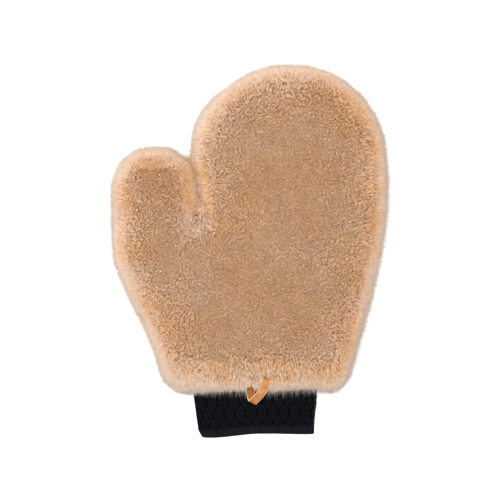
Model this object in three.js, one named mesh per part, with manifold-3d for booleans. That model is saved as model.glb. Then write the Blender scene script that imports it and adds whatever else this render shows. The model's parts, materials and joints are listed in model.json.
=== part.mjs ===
// A sheepskin wash mitt: two shearling panels with a thumb, an elastic cuff and a leather hanging loop.
// It lies on its back. Millimetres, +X to the side away from the thumb, +Y towards the fingertips, +Z up.
import * as THREE from 'three';
import { ParametricGeometry } from 'three/addons/geometries/ParametricGeometry.js';
import { mergeVertices } from 'three/addons/utils/BufferGeometryUtils.js';
import Module from 'manifold-3d';

const wasm = await Module();
wasm.setup();

// Layers of the shearling, from the pocket outwards
const HIDE = 1.2;
const PILE = 13;
const GAP = 0.3; // between pieces that touch
const SEAM_THREAD = 1.2;

// Half heights of the flattened hide, at its middle
const HAND_HALF_HEIGHT = 7.5;
const THUMB_HALF_HEIGHT = 6.5;
const REST_FLAT = 1.8; // how far the floor presses the underside flat
const MID_Z = HAND_HALF_HEIGHT + GAP + PILE - REST_FLAT;

// Outline of the hide
const FINGER_CENTRE = new THREE.Vector2(29, 63.5);
const FINGER_RADIUS = 58.2;
const THUMB_CENTRE = new THREE.Vector2(-69, 45);
const THUMB_RADII = new THREE.Vector2(18.4, 17.3);
const HIDE_END_Y = -88;
const PANEL_SQUARENESS = 2.6;

// The wool's crease between the hand and the thumb, from its foot up to the open notch
const CREASE_FOOT = new THREE.Vector2(-34, 25);
const CREASE_TOP = new THREE.Vector2(-44.3, 68);
const CREASE_SLOT = 3;

// Elastic cuff, a flattened tube that narrows a little towards its hem
const CUFF_CENTRE_X = 4.2;
const CUFF_HALF_WIDTH = 44;
const CUFF_HALF_HEIGHT = 4.5;
const CUFF_TAPER = 0.05;
const CUFF_WALL = 1.5;
const CUFF_SQUARENESS = 3;
const CUFF_END_Y = -135;
const HEM_TOP_Y = -128.5;
const HEM_PROUD = 0.6;
const SIDE_SEAM = { thick: 1.2, halfHeight: 2.4, inset: 4 };
const JOIN_THREAD = 0.9;
const JOIN_Y = -85.9;

// Hinges, with the angle that each can turn either way
const FINGER_HINGE = { y: 50, swing: 60 };
const THUMB_HINGE = { aboveFoot: 13, swing: 45 };
const WRIST_HINGE = { y: -91, swing: 30 };

// Hanging loop, a leather strip folded in two, and the pocket in the wool that it stands in
const LOOP_ROOT = new THREE.Vector3(5.8, WRIST_HINGE.y - 2, MID_Z + CUFF_HALF_HEIGHT + 1.2);
const LOOP_WIDTH = 6.3;
const LOOP_THICKNESS = 1.2;
const LOOP_NOTCH = { halfWidth: 11, depth: 12, below: 2 };
const TACK = { halfLength: 8.7, x: 0.7, above: 2.8 };

// Fineness of the curved surfaces
const HAND_MESH = { around: 24, along: 20 };
const THUMB_MESH = { around: 20, along: 12 };
const CURVE_POINTS = 24;
const SLEEVE_SIDES = 24;
const HINGE_SIDES = 32;
const LOOP_STEPS = 20;
const FAR = 400; // past every side of the mitt, for the cutting blocks

const materials = {
  wool: new THREE.MeshStandardMaterial({ color: 0xc59a70, roughness: 0.95, metalness: 0 }),
  hide: new THREE.MeshStandardMaterial({ color: 0xd9b48c, roughness: 0.8, metalness: 0 }),
  thread: new THREE.MeshStandardMaterial({ color: 0xc9a680, roughness: 0.85, metalness: 0 }),
  elastic: new THREE.MeshStandardMaterial({ color: 0x101013, roughness: 0.85, metalness: 0 }),
  leather: new THREE.MeshStandardMaterial({ color: 0xaa7d58, roughness: 0.6, metalness: 0 }),
};

// ---- solids ----

function solidFrom(geometry) {
  const bare = geometry.clone();
  bare.deleteAttribute('normal');
  bare.deleteAttribute('uv');
  const merged = mergeVertices(bare, 1e-3);
  const corners = [];
  for (let i = 0; i < merged.index.count; i += 3) {
    const [a, b, c] = [0, 1, 2].map((k) => merged.index.getX(i + k));
    if (a !== b && b !== c && c !== a) corners.push(a, b, c);
  }
  return new wasm.Manifold(new wasm.Mesh({
    numProp: 3,
    vertProperties: new Float32Array(merged.attributes.position.array),
    triVerts: new Uint32Array(corners),
  }));
}

function geometryFrom(solid) {
  const mesh = solid.getMesh();
  const geometry = new THREE.BufferGeometry();
  geometry.setAttribute('position', new THREE.BufferAttribute(new Float32Array(mesh.vertProperties), 3));
  geometry.setIndex(new THREE.BufferAttribute(new Uint32Array(mesh.triVerts), 1));
  geometry.computeVertexNormals();
  return geometry;
}

function block(low, high) {
  const size = high.map((value, i) => value - low[i]);
  const centre = high.map((value, i) => (value + low[i]) / 2);
  return solidFrom(new THREE.BoxGeometry(...size).translate(...centre));
}

const above = (z) => block([-FAR, -FAR, z], [FAR, FAR, FAR]);
const below = (z) => block([-FAR, -FAR, -FAR], [FAR, FAR, z]);
const beyond = (y) => block([-FAR, y, -FAR], [FAR, FAR, FAR]);
const before = (y) => block([-FAR, -FAR, -FAR], [FAR, y, FAR]);

// A point of a superellipse ring: squareness 2 is an ellipse, and more is boxier. u goes once round
function ringPoint(u, halfWidth, halfHeight, squareness) {
  const bend = (value) => Math.sign(value) * Math.abs(value) ** (2 / squareness);
  const angle = -2 * Math.PI * u;
  return [halfWidth * bend(Math.cos(angle)), halfHeight * bend(Math.sin(angle))];
}

// ---- the two lobes of the mitt, hand and thumb ----

function handOutline() {
  const { x, y } = FINGER_CENTRE;
  const path = new THREE.Path();
  path.moveTo(5, HIDE_END_Y);
  path.lineTo(50, HIDE_END_Y);
  path.quadraticCurveTo(61, HIDE_END_Y, 63, -80);
  path.bezierCurveTo(78, -30, 92, 20, x + FINGER_RADIUS, y);
  path.absarc(x, y, FINGER_RADIUS, 0, Math.PI, false);
  path.quadraticCurveTo(-26, 50, -21, 27);
  path.bezierCurveTo(-19, 5, -74, 12, -82, -14);
  path.lineTo(-53, -80);
  path.quadraticCurveTo(-50, HIDE_END_Y, -40, HIDE_END_Y);
  path.lineTo(5, HIDE_END_Y);
  return path.getPoints(CURVE_POINTS);
}

function thumbOutline() {
  const { x, y } = THUMB_CENTRE;
  const path = new THREE.Path();
  path.moveTo(-58, -46);
  path.quadraticCurveTo(-44, -44, -42, -20);
  path.lineTo(-46, 20);
  path.quadraticCurveTo(x + THUMB_RADII.x, 36, x + THUMB_RADII.x, y);
  path.absellipse(x, y, THUMB_RADII.x, THUMB_RADII.y, 0, Math.PI, false, 0);
  path.lineTo(-87.4, 6);
  path.quadraticCurveTo(-87, -8, -82, -16);
  path.lineTo(-72, -38);
  path.quadraticCurveTo(-68, -46, -58, -46);
  return path.getPoints(CURVE_POINTS);
}

// tipRound and wristRound are the lengths over which the lobe's height fades out at its two ends
const hand = {
  outline: handOutline(),
  halfHeight: HAND_HALF_HEIGHT,
  tipRound: 45,
  wristRound: 14,
  ...HAND_MESH,
};

const thumb = {
  outline: thumbOutline(),
  halfHeight: THUMB_HALF_HEIGHT,
  tipRound: 15,
  wristRound: 24,
  ...THUMB_MESH,
};

// The outline moved outwards by grow
function grownOutline(outline, grow) {
  const count = outline.length;
  return outline.map((point, i) => {
    const along = outline[(i + 1) % count].clone().sub(outline[(i + count - 1) % count]).normalize();
    return new THREE.Vector2(point.x + along.y * grow, point.y - along.x * grow);
  });
}

// Lowest and highest x where a closed outline crosses the height y
function spanAt(outline, y) {
  const crossings = outline.flatMap((a, i) => {
    const b = outline[(i + 1) % outline.length];
    if (a.y === b.y || (a.y - y) * (b.y - y) > 0) return [];
    return [THREE.MathUtils.mapLinear(y, a.y, b.y, a.x, b.x)];
  });
  return [Math.min(...crossings), Math.max(...crossings)];
}

// Height of a quarter round of this radius, as a share of its full height
const rounded = (distance, radius) => Math.sqrt(1 - (1 - Math.min(distance / radius, 1)) ** 2);

// A lobe's solid, a loft of rings across the mitt. grow is how far it reaches outside the hide's face
function lobeSolid(lobe, grow) {
  const outline = grownOutline(lobe.outline, grow);
  const heights = outline.map((point) => point.y);
  const [bottom, top] = [Math.min(...heights), Math.max(...heights)];
  const surface = (u, v, target) => {
    const share = THREE.MathUtils.clamp((1 - Math.cos(Math.PI * v)) / 2, 0, 1);
    const y = THREE.MathUtils.lerp(bottom, top, share);
    const [left, right] = spanAt(outline, THREE.MathUtils.clamp(y, bottom + 1e-6, top - 1e-6));
    const tip = rounded(top - y, lobe.tipRound + grow);
    const wrist = rounded(y - bottom, lobe.wristRound + grow);
    const halfHeight = (lobe.halfHeight + grow) * tip * wrist;
    const [x, z] = ringPoint(u, (right - left) / 2, halfHeight, PANEL_SQUARENESS);
    target.set((left + right) / 2 + x, y, MID_Z + z);
  };
  return solidFrom(new ParametricGeometry(surface, lobe.around, lobe.along));
}

const mittSolid = (grow) => lobeSolid(hand, grow).add(lobeSolid(thumb, grow));

// ---- the flattened tube of the wrist and the cuff ----

// A plug of the cuff's outer size from low to high, closed at both ends. grow is as in lobeSolid
function sleevePlug(low, high, grow) {
  const rings = [low, low, high, high];
  const last = rings.length - 1;
  const surface = (u, v, target) => {
    const ring = Math.round(v * last);
    const open = ring === 0 || ring === last ? 0 : 1;
    const halfWidth = CUFF_HALF_WIDTH - CUFF_TAPER * (WRIST_HINGE.y - rings[ring]) + grow;
    const halfHeight = CUFF_HALF_HEIGHT + grow;
    const [x, z] = ringPoint(u, halfWidth * open, halfHeight * open, CUFF_SQUARENESS);
    target.set(CUFF_CENTRE_X + x, rings[ring], MID_Z + z);
  };
  return solidFrom(new ParametricGeometry(surface, SLEEVE_SIDES, last));
}

const sleeveTube = (low, high, outside, inside) =>
  sleevePlug(low, high, outside).subtract(sleevePlug(low - 1, high + 1, inside));

// ---- what turns with each hinge, grown by a clearance ----

// A round bar along X. Its radius lets two slabs of this half height turn on it by the swing, either way
function hingeBar(halfHeight, swing, clearance) {
  const radius = halfHeight / Math.cos(THREE.MathUtils.degToRad(swing / 2)) + clearance;
  return new THREE.CylinderGeometry(radius, radius, 2 * FAR, HINGE_SIDES).rotateZ(Math.PI / 2);
}

function fingerRegion(clearance) {
  const bar = hingeBar(HAND_HALF_HEIGHT + GAP + PILE, FINGER_HINGE.swing, clearance);
  return solidFrom(bar.translate(0, FINGER_HINGE.y, MID_Z)).add(beyond(FINGER_HINGE.y - clearance));
}

function cuffRegion(clearance) {
  const bar = hingeBar(CUFF_HALF_HEIGHT, WRIST_HINGE.swing, clearance);
  return solidFrom(bar.translate(0, WRIST_HINGE.y, MID_Z)).add(before(WRIST_HINGE.y + clearance));
}

// The thumb beyond its hinge, as far as edge, which is measured from the crease towards the hand
function thumbRegion(clearance, edge) {
  const up = CREASE_TOP.clone().sub(CREASE_FOOT).normalize();
  const hinge = CREASE_FOOT.clone().addScaledVector(up, THUMB_HINGE.aboveFoot);
  const place = new THREE.Matrix4().makeRotationZ(up.angle() - Math.PI / 2);
  place.setPosition(hinge.x, hinge.y, MID_Z);
  const bar = hingeBar(THUMB_HALF_HEIGHT + GAP + PILE, THUMB_HINGE.swing, clearance);
  const outer = new THREE.BoxGeometry(FAR, FAR, FAR).translate(edge - FAR / 2, FAR / 2 - clearance, 0);
  const solid = solidFrom(bar.translate(edge - FAR, 0, 0).applyMatrix4(place));
  return solid.add(solidFrom(outer.applyMatrix4(place)));
}

// The wedge that the cuff sweeps between the wool of the two panels as it turns either way
function cuffSweep() {
  const swing = THREE.MathUtils.degToRad(WRIST_HINGE.swing);
  const start = -CUFF_HALF_HEIGHT * Math.sin(swing);
  const end = PILE + 7;
  const halfWidth = CUFF_HALF_WIDTH + SIDE_SEAM.thick + 1;
  const sweptAt = (distance) => (CUFF_HALF_HEIGHT + GAP) / Math.cos(swing) + distance * Math.tan(swing);
  const wedge = new THREE.Shape([
    new THREE.Vector2(sweptAt(start), start),
    new THREE.Vector2(sweptAt(end), end),
    new THREE.Vector2(-sweptAt(end), end),
    new THREE.Vector2(-sweptAt(start), start),
  ]);
  const prism = new THREE.ExtrudeGeometry(wedge, { depth: 2 * halfWidth, bevelEnabled: false });
  const turned = new THREE.Matrix4().makeBasis(
    new THREE.Vector3(0, 0, 1), new THREE.Vector3(0, -1, 0), new THREE.Vector3(1, 0, 0));
  prism.translate(0, 0, -halfWidth).applyMatrix4(turned);
  const bar = hingeBar(CUFF_HALF_HEIGHT, WRIST_HINGE.swing, GAP).scale(halfWidth / FAR, 1, 1);
  const [flare, round] = [prism, bar].map((shape) => shape.translate(CUFF_CENTRE_X, WRIST_HINGE.y, MID_Z));
  return solidFrom(flare).add(solidFrom(round));
}

// ---- shearling layers, before they are cut at the joints ----

const wristPlug = (grow) => sleevePlug(WRIST_HINGE.y - PILE, HIDE_END_Y + PILE, grow);
const throat = (grow) => mittSolid(grow).add(wristPlug(grow));
const hideShell = throat(0).subtract(throat(-HIDE)).subtract(cuffRegion(GAP));

// The thread that sews the elastic to the hide runs round the hide's wrist end
function joinRing(margin) {
  const ring = throat(GAP + JOIN_THREAD + margin).subtract(throat(GAP - margin / 2));
  return ring.intersect(beyond(JOIN_Y - margin)).intersect(before(JOIN_Y + JOIN_THREAD + margin));
}

function loopNotch() {
  const { x, y, z } = LOOP_ROOT;
  return block(
    [x - LOOP_NOTCH.halfWidth, -FAR, z - LOOP_NOTCH.below],
    [x + LOOP_NOTCH.halfWidth, y + LOOP_NOTCH.depth, FAR]);
}

function woolShell() {
  const pile = mittSolid(GAP + PILE).subtract(throat(GAP));
  return pile.subtract(cuffSweep()).subtract(joinRing(GAP)).subtract(loopNotch()).intersect(above(0));
}

function shearlingLayers() {
  const wool = woolShell();
  const thread = SEAM_THREAD / 2;
  return {
    palm_hide: hideShell.intersect(above(MID_Z + thread + GAP)),
    back_hide: hideShell.intersect(below(MID_Z - thread - GAP)),
    palm_wool: wool.intersect(above(MID_Z + GAP / 2)),
    back_wool: wool.intersect(below(MID_Z - GAP / 2)),
    seam_thread: hideShell.intersect(above(MID_Z - thread)).intersect(below(MID_Z + thread)),
  };
}

// ---- cuff ----

const cuffElastic = () =>
  sleeveTube(HEM_TOP_Y + GAP, WRIST_HINGE.y + PILE, 0, -CUFF_WALL).intersect(cuffRegion(0));

const cuffHemBand = () => sleeveTube(CUFF_END_Y, HEM_TOP_Y, HEM_PROUD, -CUFF_WALL);

// The overlocked edge that closes the elastic into a tube, along the side away from the thumb
function cuffSideSeam() {
  const skin = sleeveTube(HEM_TOP_Y + HEM_PROUD, WRIST_HINGE.y - GAP, GAP + SIDE_SEAM.thick, GAP);
  const inner = CUFF_CENTRE_X + CUFF_HALF_WIDTH - SIDE_SEAM.inset;
  const { halfHeight } = SIDE_SEAM;
  return skin.intersect(block([inner, -FAR, MID_Z - halfHeight], [FAR, FAR, MID_Z + halfHeight]));
}

// ---- hanging loop ----

// A strip swept along a path. Its first and last rings close onto the path, which caps it
function strap(path, across) {
  const corners = [[1, 1], [1, -1], [-1, -1], [-1, 1]];
  const last = LOOP_STEPS + 2;
  const surface = (u, v, target) => {
    const ring = Math.round(v * last);
    const t = THREE.MathUtils.clamp((ring - 1) / LOOP_STEPS, 0, 1);
    const half = ring === 0 || ring === last ? 0 : 0.5;
    const side = across(t).normalize();
    const up = side.clone().cross(path.getTangent(t)).normalize();
    const [w, h] = corners[Math.round(u * corners.length) % corners.length];
    target.copy(path.getPoint(t));
    target.addScaledVector(side, w * LOOP_WIDTH * half);
    target.addScaledVector(up, h * LOOP_THICKNESS * half);
  };
  return solidFrom(new ParametricGeometry(surface, corners.length, last));
}

function hangingLoop() {
  const path = new THREE.CatmullRomCurve3([
    new THREE.Vector3(6, -1.8, 1.2),
    new THREE.Vector3(5.2, -4, 4.6),
    new THREE.Vector3(4, -7, 6.6),
    new THREE.Vector3(0, -12.2, 6.8),
    new THREE.Vector3(-2.8, -15.6, 5.2),
    new THREE.Vector3(-4.1, -17.2, 3),
    new THREE.Vector3(-4.9, -16, 0.9),
    new THREE.Vector3(-5.3, -11, -0.2),
    new THREE.Vector3(-4.6, 0, -0.3),
  ]);
  const across = (t) => new THREE.Vector3(1, -0.57 * (1 - THREE.MathUtils.smoothstep(t, 0.6, 1)), 0);
  return strap(path, across).translate(...LOOP_ROOT);
}

// The bar of stitches over the loop's two ends
function loopTack() {
  const half = JOIN_THREAD / 2;
  const bar = new THREE.BoxGeometry(2 * TACK.halfLength, JOIN_THREAD, JOIN_THREAD);
  return solidFrom(bar.translate(LOOP_ROOT.x + TACK.x, LOOP_ROOT.y, LOOP_ROOT.z + TACK.above + half));
}

// ---- assembly ----

const mitt = new THREE.Group();

function addPiece(name, solid, material) {
  const mesh = new THREE.Mesh(geometryFrom(solid), material);
  mesh.name = name;
  mitt.add(mesh);
}

// The hand keeps three runs of the edge seam. From the thumb's side across, they are these
function addHandSeams(seams) {
  const runs = seams.decompose().sort((a, b) => a.boundingBox().min[0] - b.boundingBox().min[0]);
  const names = ['thumb_side_seam_thread', 'crotch_seam_thread', 'outer_side_seam_thread'];
  names.forEach((name, i) => addPiece(name, runs[i], materials.thread));
}

Object.entries(shearlingLayers()).forEach(([name, layer]) => {
  const material = materials[name.split('_')[1]];
  const offThumb = layer.subtract(thumbRegion(GAP, CREASE_SLOT / 2));
  const onHand = offThumb.subtract(fingerRegion(GAP));
  if (name === 'seam_thread') addHandSeams(onHand);
  else addPiece(name, onHand, material);
  addPiece(`finger_${name}`, offThumb.intersect(fingerRegion(0)), material);
  addPiece(`thumb_${name}`, layer.intersect(thumbRegion(0, -CREASE_SLOT / 2)), material);
});

addPiece('cuff_join_thread', joinRing(0), materials.thread);
addPiece('cuff_elastic', cuffElastic(), materials.elastic);
addPiece('cuff_hem_band', cuffHemBand(), materials.elastic);
addPiece('cuff_side_seam_thread', cuffSideSeam(), materials.elastic);
addPiece('hanging_loop', hangingLoop(), materials.leather);
addPiece('loop_tack_thread', loopTack(), materials.thread);

// The origin is on the floor, under the middle of the mitt's box
const box = new THREE.Box3().setFromObject(mitt);
const middle = box.getCenter(new THREE.Vector3());
mitt.position.set(-middle.x, -middle.y, -box.min.z);

export default mitt;
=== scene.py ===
"""A sheepskin wash mitt lying on a white table: wool, hide, elastic cuff and a leather hanging loop."""
import json
import math

import bmesh
import bpy
import numpy as np
import openvdb
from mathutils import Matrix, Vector
from mathutils.kdtree import KDTree


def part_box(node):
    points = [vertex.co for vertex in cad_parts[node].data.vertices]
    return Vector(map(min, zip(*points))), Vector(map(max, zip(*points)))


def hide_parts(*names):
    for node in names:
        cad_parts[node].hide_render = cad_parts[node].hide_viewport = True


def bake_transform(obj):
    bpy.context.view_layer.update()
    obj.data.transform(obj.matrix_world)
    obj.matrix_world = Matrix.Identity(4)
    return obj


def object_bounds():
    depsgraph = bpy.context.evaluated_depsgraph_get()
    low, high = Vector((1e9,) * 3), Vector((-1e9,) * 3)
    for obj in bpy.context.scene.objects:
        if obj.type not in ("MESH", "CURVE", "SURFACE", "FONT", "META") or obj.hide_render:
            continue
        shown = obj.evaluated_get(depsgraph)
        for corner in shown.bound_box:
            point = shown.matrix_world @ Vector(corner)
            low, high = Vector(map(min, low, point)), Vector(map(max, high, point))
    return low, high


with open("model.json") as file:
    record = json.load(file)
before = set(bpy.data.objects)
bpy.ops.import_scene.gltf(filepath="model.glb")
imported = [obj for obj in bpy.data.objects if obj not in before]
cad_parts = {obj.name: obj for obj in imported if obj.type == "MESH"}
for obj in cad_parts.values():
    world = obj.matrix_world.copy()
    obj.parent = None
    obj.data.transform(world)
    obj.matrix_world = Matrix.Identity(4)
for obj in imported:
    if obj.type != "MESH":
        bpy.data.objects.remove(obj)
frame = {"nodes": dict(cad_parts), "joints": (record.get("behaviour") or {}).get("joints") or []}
cad_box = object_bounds()

MM = 0.001
SEED = 7


# ---- what the frame says ----

def joint(name):
    return next(j for j in frame["joints"] if j["name"] == name)


def node_box(name):
    low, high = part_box(name)
    return np.array(low), np.array(high)


HIDES = [n for n in frame["nodes"] if n.endswith("_hide")]
WOOLS = [n for n in frame["nodes"] if n.endswith("_wool")]
hide_low = np.min([node_box(n)[0] for n in HIDES], axis=0)
hide_high = np.max([node_box(n)[1] for n in HIDES], axis=0)
wool_high = np.max([node_box(n)[1] for n in WOOLS], axis=0)
elastic_low, elastic_high = node_box("cuff_elastic")
hem_low, hem_high = node_box("cuff_hem_band")

PILE = wool_high[2] - hide_high[2]
MID_Z = (elastic_low[2] + elastic_high[2]) / 2
CUFF_X = (elastic_low[0] + elastic_high[0]) / 2
CUFF_HALF = (elastic_high - elastic_low) / 2
WRIST = Vector(joint("wrist_flex")["pos_m"])
KNUCKLE = Vector(joint("finger_flex")["pos_m"])
THUMB_ROOT = Vector(joint("thumb_flex")["pos_m"])
THUMB_AXIS = Vector(joint("thumb_flex")["axis"])
THUMB_UP = Vector((0, 0, 1)).cross(THUMB_AXIS)
LOOP_ROOT = Vector(joint("loop_swing")["pos_m"])

TOWARDS_FINGERS = Vector((0, 1, 0))

# How far each side of a hinge the wool and the hide bend: the wrist bends in the wool, just above the cuff
KNUCKLE_REACH = 24 * MM
THUMB_REACH = 14 * MM
WRIST_REACH = 14 * MM
BELOW_WRIST = 4 * MM
KNUCKLE_SIDE = TOWARDS_FINGERS * KNUCKLE_REACH
THUMB_SIDE = THUMB_UP * THUMB_REACH

# The mitt is in three zones. Each has the bodies that it bends between, and where its bend starts and ends
BENDS = {
    "upper": ("hand", "fingers", KNUCKLE - KNUCKLE_SIDE, KNUCKLE + KNUCKLE_SIDE),
    "thumb": ("hand", "thumb", THUMB_ROOT - THUMB_SIDE, THUMB_ROOT + THUMB_SIDE),
    "lower": ("hand", "cuff", WRIST + TOWARDS_FINGERS * WRIST_REACH, WRIST - TOWARDS_FINGERS * BELOW_WRIST),
}
UPPER_FROM_Y = -30 * MM

# The planes between the zones: each is a point on it and the direction across it
ZONE_BORDERS = [
    (TOWARDS_FINGERS * UPPER_FROM_Y, TOWARDS_FINGERS),
    (THUMB_ROOT - THUMB_SIDE, THUMB_UP),
    (THUMB_ROOT, THUMB_AXIS),
]


def bend(piece):
    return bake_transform(piece)


def zone_of(points):
    """The zone that each point belongs to, as an index into BENDS."""
    upper, thumb, lower = range(len(BENDS))
    from_root = points - np.array(THUMB_ROOT)
    beyond = from_root @ np.array(THUMB_UP) > -THUMB_REACH
    outside = from_root @ np.array(THUMB_AXIS) < 0
    return np.where(beyond & outside, thumb, np.where(points[:, 1] > UPPER_FROM_Y, upper, lower))


# ---- meshes ----

def mesh_arrays(obj):
    """(points, triangles) of a mesh object."""
    mesh = obj.data
    mesh.calc_loop_triangles()
    points = np.empty(len(mesh.vertices) * 3, np.float32)
    mesh.vertices.foreach_get("co", points)
    corners = np.empty(len(mesh.loop_triangles) * 3, np.int32)
    mesh.loop_triangles.foreach_get("vertices", corners)
    return points.reshape(-1, 3), corners.reshape(-1, 3)


def joined(names):
    """(points, triangles) of several CAD nodes together."""
    points, triangles, count = [], [], 0
    for name in names:
        p, t = mesh_arrays(frame["nodes"][name])
        points.append(p)
        triangles.append(t + count)
        count += len(p)
    return np.concatenate(points), np.concatenate(triangles).astype(np.uint32)


def make_mesh(name, points, loops, starts, uv=None):
    """A smooth mesh object from flat arrays: polygon corners in loops, and where each polygon starts."""
    mesh = bpy.data.meshes.new(name)
    mesh.vertices.add(len(points))
    mesh.vertices.foreach_set("co", np.ascontiguousarray(points, np.float32).ravel())
    mesh.loops.add(len(loops))
    mesh.loops.foreach_set("vertex_index", np.ascontiguousarray(loops, np.int32))
    mesh.polygons.add(len(starts))
    mesh.polygons.foreach_set("loop_start", np.ascontiguousarray(starts, np.int32))
    mesh.polygons.foreach_set("use_smooth", np.ones(len(starts), bool))
    mesh.update(calc_edges=True)
    if uv is not None:
        layer = mesh.uv_layers.new(name="OFBake")
        layer.data.foreach_set("uv", np.ascontiguousarray(uv, np.float32).ravel())
    obj = bpy.data.objects.new(name, mesh)
    bpy.context.scene.collection.objects.link(obj)
    return obj


def quad_normals(points, quads):
    """Vertex normals of a quad mesh, pointing the way its quads turn."""
    a, b, c, d = (points[quads[:, i]] for i in range(4))
    face = np.cross(c - a, d - b)
    normals = np.zeros_like(points)
    for i in range(4):
        np.add.at(normals, quads[:, i], face)
    return normals / np.linalg.norm(normals, axis=1, keepdims=True)


def value_noise(points, cell, seed, channels=1):
    """Smooth random values from -1 to 1, with features about a cell wide."""
    side = 32
    table = np.random.default_rng(seed).uniform(-1, 1, (side, side, side, channels))
    grid = points / cell
    base = np.floor(grid).astype(int)
    f = grid - base
    f = f * f * (3 - 2 * f)
    total = np.zeros((len(points), channels))
    for corner in np.ndindex(2, 2, 2):
        weight = np.prod(np.where(corner, f, 1 - f), axis=1)
        i, j, k = ((base + corner) % side).T
        total += weight[:, None] * table[i, j, k]
    return total if channels > 1 else total[:, 0]


def smoothstep(low, high, value):
    t = np.clip((value - low) / (high - low), 0, 1)
    return t * t * (3 - 2 * t)


def lerp(low, high, share):
    return low + (high - low) * share


def unit(vectors):
    return vectors / np.linalg.norm(vectors, axis=1, keepdims=True)


# ---- materials ----

def material(name, roughness, sheen=0.0, specular=0.5):
    made = bpy.data.materials.new(name)
    made.use_nodes = True
    shader = made.node_tree.nodes["Principled BSDF"]
    shader.inputs["Roughness"].default_value = roughness
    shader.inputs["Sheen Weight"].default_value = sheen
    shader.inputs["Specular IOR Level"].default_value = specular
    return made, made.node_tree, shader


def linear(red, green, blue):
    """An sRGB colour from 0 to 255 as a linear one with alpha."""
    shares = np.array([red, green, blue]) / 255
    return [*np.where(shares <= 0.04045, shares / 12.92, ((shares + 0.055) / 1.055) ** 2.4), 1]


def ramp(tree, factor, stops):
    node = tree.nodes.new("ShaderNodeValToRGB")
    while len(node.color_ramp.elements) < len(stops):
        node.color_ramp.elements.new(0.5)
    for element, (place, colour) in zip(node.color_ramp.elements, stops):
        element.position = place
        element.color = linear(*colour)
    tree.links.new(factor, node.inputs["Fac"])
    return node.outputs["Color"]


def mix(tree, factor, a, b):
    node = tree.nodes.new("ShaderNodeMix")
    node.data_type = "RGBA"
    tree.links.new(factor, node.inputs[0])
    tree.links.new(a, node.inputs[6])
    tree.links.new(b, node.inputs[7])
    return node.outputs[2]


def noise(tree, place, scale):
    node = tree.nodes.new("ShaderNodeTexNoise")
    node.inputs["Scale"].default_value = scale
    tree.links.new(place, node.inputs["Vector"])
    return node.outputs["Fac"]


def bump(tree, shader, height, distance, strength):
    node = tree.nodes.new("ShaderNodeBump")
    node.inputs["Distance"].default_value = distance
    node.inputs["Strength"].default_value = strength
    tree.links.new(height, node.inputs["Height"])
    tree.links.new(node.outputs["Normal"], shader.inputs["Normal"])


def mottled(name, scale, stops, **finish):
    """A material whose colour follows a noise. Returns it, its tree and shader, the place and the noise."""
    made, tree, shader = material(name, **finish)
    place = tree.nodes.new("ShaderNodeTexCoord").outputs["Object"]
    pattern = noise(tree, place, scale)
    tree.links.new(ramp(tree, pattern, stops), shader.inputs["Base Color"])
    return made, tree, shader, place, pattern


# A fibre's colours from its root to its tip, darker towards the root as painted shade deep in the pile. The
# mitt's faces are golden; the cream of its sides and its fringe is painted light
GOLDEN_FIBRE = [(0, (160, 112, 74)), (0.66, (188, 137, 92)), (0.88, (238, 190, 134)), (1, (250, 188, 102))]
PAINTED_LIGHT_CREAM_FIBRE = [(0, (172, 124, 94)), (0.66, (222, 194, 170)), (0.88, (226, 209, 196)), (1, (230, 212, 198))]


def wool_material():
    """The fibre's colour runs along its length, V, and between the two tints, U."""
    made, tree, shader = material("wool_fibre", roughness=0.8, sheen=0.2, specular=0.3)
    uv = tree.nodes.new("ShaderNodeUVMap")
    uv.uv_map = "OFBake"
    split = tree.nodes.new("ShaderNodeSeparateXYZ")
    tree.links.new(uv.outputs["UV"], split.inputs[0])
    tint, along = split.outputs["X"], split.outputs["Y"]
    golden = ramp(tree, along, GOLDEN_FIBRE)
    # Painted light: the cream ramp pales the fibres on the mitt's sides and its fringe
    cream = ramp(tree, along, PAINTED_LIGHT_CREAM_FIBRE)
    tree.links.new(mix(tree, tint, golden, cream), shader.inputs["Base Color"])
    return made


def undercoat_material():
    stops = [(0.3, (214, 172, 130)), (0.7, (232, 196, 158))]
    return mottled("wool_undercoat", 700, stops, roughness=0.95, specular=0.1)[0]


def suede_material():
    stops = [(0.3, (188, 150, 112)), (0.7, (212, 178, 140))]
    made, tree, shader, _, nap = mottled("suede", 900, stops, roughness=0.9, sheen=0.4, specular=0.15)
    shader.inputs["Sheen Roughness"].default_value = 0.4
    bump(tree, shader, nap, distance=0.3 * MM, strength=0.5)
    return made


def thread_material(name, low, high, sheen):
    stops = [(0.3, low), (0.7, high)]
    made, tree, shader, _, twist = mottled(name, 1600, stops, roughness=0.7, sheen=sheen, specular=0.2)
    bump(tree, shader, twist, distance=0.2 * MM, strength=0.6)
    return made


def elastic_material(name, low, high):
    """Black knit, with fine rows across the cuff."""
    stops = [(0.3, low), (0.75, high)]
    made, tree, shader, place, _ = mottled(name, 1500, stops, roughness=0.85, specular=0.02)
    shader.inputs["Sheen Roughness"].default_value = 0.5
    rows = tree.nodes.new("ShaderNodeTexWave")
    rows.bands_direction = "Y"
    rows.inputs["Scale"].default_value = 380
    rows.inputs["Distortion"].default_value = 1.5
    tree.links.new(place, rows.inputs["Vector"])
    bump(tree, shader, rows.outputs["Fac"], distance=0.2 * MM, strength=0.6)
    return made


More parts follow.
